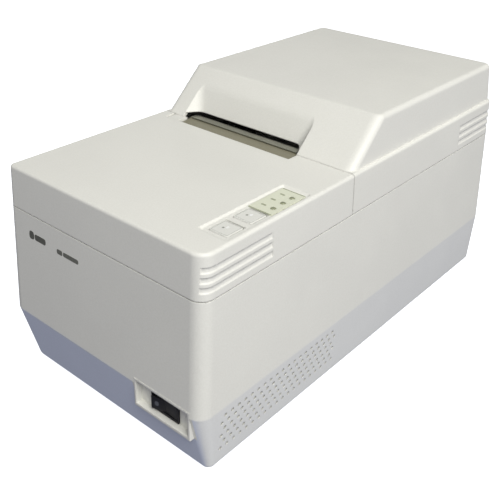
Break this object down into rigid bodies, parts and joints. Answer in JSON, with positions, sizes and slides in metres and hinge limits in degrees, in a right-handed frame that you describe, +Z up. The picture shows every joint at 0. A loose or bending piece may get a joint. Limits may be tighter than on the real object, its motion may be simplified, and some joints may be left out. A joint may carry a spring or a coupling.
{
  "type": "receipt printer",
  "caption": "Counter-top impact receipt printer with tilting front and rear covers, a control panel, a paper roll well and a belt-driven print head.",
  "frame": {"origin": "on the counter, below the middle of the case", "axes": "+X right, +Y rear, +Z up; the paper slot and control panel face up and forward (-Y)"},
  "size_m": [0.156, 0.3042, 0.1578],
  "materials": {
    "case_plastic": "fine spark texture, warm off-white",
    "cover_plastic": "fine spark texture, warm off-white",
    "button_plastic": "satin light grey",
    "label_film": "printed film, pale cream green",
    "lamp_lens": "clear tinted lens",
    "black_plastic": "moulded black",
    "rubber": "matt black rubber",
    "zinc_steel": "zinc-plated sheet",
    "shaft_steel": "ground and polished",
    "head_aluminium": "black-edged cast fins",
    "gear_plastic": "natural acetal",
    "tear_steel": "oil-blackened serrated strip",
    "guide_plastic": "smoked tan plastic",
    "well_plastic": "mid grey moulding",
    "circuit_board": "green solder mask",
    "winding": "yellow winding tape",
    "core_steel": "varnished laminations",
    "motor_steel": "plated motor can",
    "brass": "plated contact",
    "belt_rubber": "toothed belt",
    "ribbon_fabric": "inked nylon",
    "paper": "receipt paper",
    "cardboard": "spiral-wound tube"
  },
  "bodies": {
    "case": {"board_parts": "black_plastic", "carriage_motor": "motor_steel", "carriage_shaft": "shaft_steel", "connector_plate": "zinc_steel", "data_and_drawer_sockets": "black_plastic", "drive_belt": "belt_rubber", "feed_motor": "motor_steel", "guide_rail": "shaft_steel", "heat_sink": "head_aluminium", "idler_gear_stud": "shaft_steel", "idler_stud": "shaft_steel", "indicator_leds": "lamp_lens", "ink_ribbon": "ribbon_fabric", "inlet_pins": "brass", "left_side_plate": "zinc_steel", "lower_case": "case_plastic", "main_board": "circuit_board", "mechanism_base": "zinc_steel", "mounting_screws": "shaft_steel", "panel_board": "circuit_board", "panel_bracket": "zinc_steel", "panel_switches": "black_plastic", "paper_chute": "zinc_steel", "paper_guide": "guide_plastic", "paper_well": "well_plastic", "platen_bar": "zinc_steel", "platen_pad": "rubber", "power_inlet": "black_plastic", "ribbon_cartridge": "black_plastic", "right_side_plate": "zinc_steel", "rubber_feet": "rubber", "switch_housing": "black_plastic", "tear_bar": "tear_steel", "transformer_bracket": "zinc_steel", "transformer_coil": "winding", "transformer_core": "core_steel"},
    "front_cover": {"front_cover": "cover_plastic", "panel_label": "label_film", "led_lenses": "lamp_lens"},
    "rear_cover": {"rear_cover": "cover_plastic"},
    "feed_button": {"feed_button": "button_plastic"},
    "online_button": {"online_button": "button_plastic"},
    "power_rocker": {"power_rocker": "black_plastic"},
    "carriage": {"head_carriage": "black_plastic", "print_head": "head_aluminium"},
    "drive_pulley": {"drive_pulley": "gear_plastic", "drive_motor_shaft": "shaft_steel"},
    "idler_pulley": {"idler_pulley": "gear_plastic"},
    "feed_roller": {"feed_shaft": "shaft_steel", "feed_rollers": "rubber", "feed_gear": "gear_plastic"},
    "idler_gear": {"idler_gear": "gear_plastic"},
    "feed_pinion": {"feed_pinion": "brass", "feed_motor_shaft": "shaft_steel"},
    "pressure_roller": {"pressure_shaft": "shaft_steel", "pressure_rollers": "rubber"},
    "paper_roll": {"roll_spindle": "well_plastic", "roll_core": "cardboard", "paper_roll": "paper"},
    "ribbon_knob": {"ribbon_knob": "button_plastic"}
  },
  "joints": [
    {"name": "front_cover_tilt", "type": "hinge", "parent": "case", "child": "front_cover", "pos_m": [0, -0.14774, 0.107], "axis": [1, 0, 0], "range_deg": [0, 75]},
    {"name": "rear_cover_tilt", "type": "hinge", "parent": "case", "child": "rear_cover", "pos_m": [0, 0.1508, 0.107], "axis": [-1, 0, 0], "range_deg": [0, 70]},
    {"name": "feed_button_press", "type": "slide", "parent": "front_cover", "child": "feed_button", "axis": [0, 0, -1], "range_m": [0, 0.0008], "stiffness_N_per_m": 300, "springref_m": -0.0004},
    {"name": "online_button_press", "type": "slide", "parent": "front_cover", "child": "online_button", "axis": [0, 0, -1], "range_m": [0, 0.0008], "stiffness_N_per_m": 300, "springref_m": -0.0004},
    {"name": "power_rocker_tip", "type": "hinge", "parent": "case", "child": "power_rocker", "pos_m": [0.0495, -0.1474, 0.0332], "axis": [0, 0, -1], "range_deg": [0, 14]},
    {"name": "carriage_travel", "type": "slide", "parent": "case", "child": "carriage", "axis": [1, 0, 0], "range_m": [-0.03, 0.03]},
    {"name": "drive_pulley_turn", "type": "hinge", "parent": "case", "child": "drive_pulley", "pos_m": [0.03, -0.06, 0.075], "axis": [0, 0, 1], "range_deg": [-300, 300]},
    {"name": "idler_pulley_turn", "type": "hinge", "parent": "case", "child": "idler_pulley", "pos_m": [-0.0575, -0.06, 0.075], "axis": [0, 0, 1], "range_deg": [-300, 300]},
    {"name": "feed_roller_turn", "type": "hinge", "parent": "case", "child": "feed_roller", "pos_m": [0, -0.012, 0.082], "axis": [1, 0, 0], "continuous": true},
    {"name": "idler_gear_turn", "type": "hinge", "parent": "case", "child": "idler_gear", "pos_m": [0.0437, -0.0018, 0.09743], "axis": [1, 0, 0], "continuous": true},
    {"name": "feed_pinion_turn", "type": "hinge", "parent": "case", "child": "feed_pinion", "pos_m": [0.0437, 0.007, 0.088], "axis": [1, 0, 0], "continuous": true},
    {"name": "pressure_roller_turn", "type": "hinge", "parent": "case", "child": "pressure_roller", "pos_m": [0, -0.0223, 0.082], "axis": [1, 0, 0], "continuous": true},
    {"name": "paper_roll_turn", "type": "hinge", "parent": "case", "child": "paper_roll", "pos_m": [-0.016, 0.078, 0.093], "axis": [1, 0, 0], "continuous": true},
    {"name": "ribbon_knob_turn", "type": "hinge", "parent": "case", "child": "ribbon_knob", "pos_m": [-0.04, -0.092, 0.118], "axis": [0, 0, 1], "continuous": true}
  ],
  "couplings": [
    {"joint": "drive_pulley_turn", "follows": "carriage_travel", "rad_per_m": -166.67},
    {"joint": "idler_pulley_turn", "follows": "carriage_travel", "rad_per_m": -166.67},
    {"joint": "idler_gear_turn", "follows": "feed_roller_turn", "ratio": -1.5556},
    {"joint": "feed_pinion_turn", "follows": "feed_roller_turn", "ratio": 2},
    {"joint": "pressure_roller_turn", "follows": "feed_roller_turn", "ratio": -1.5}
  ]
}
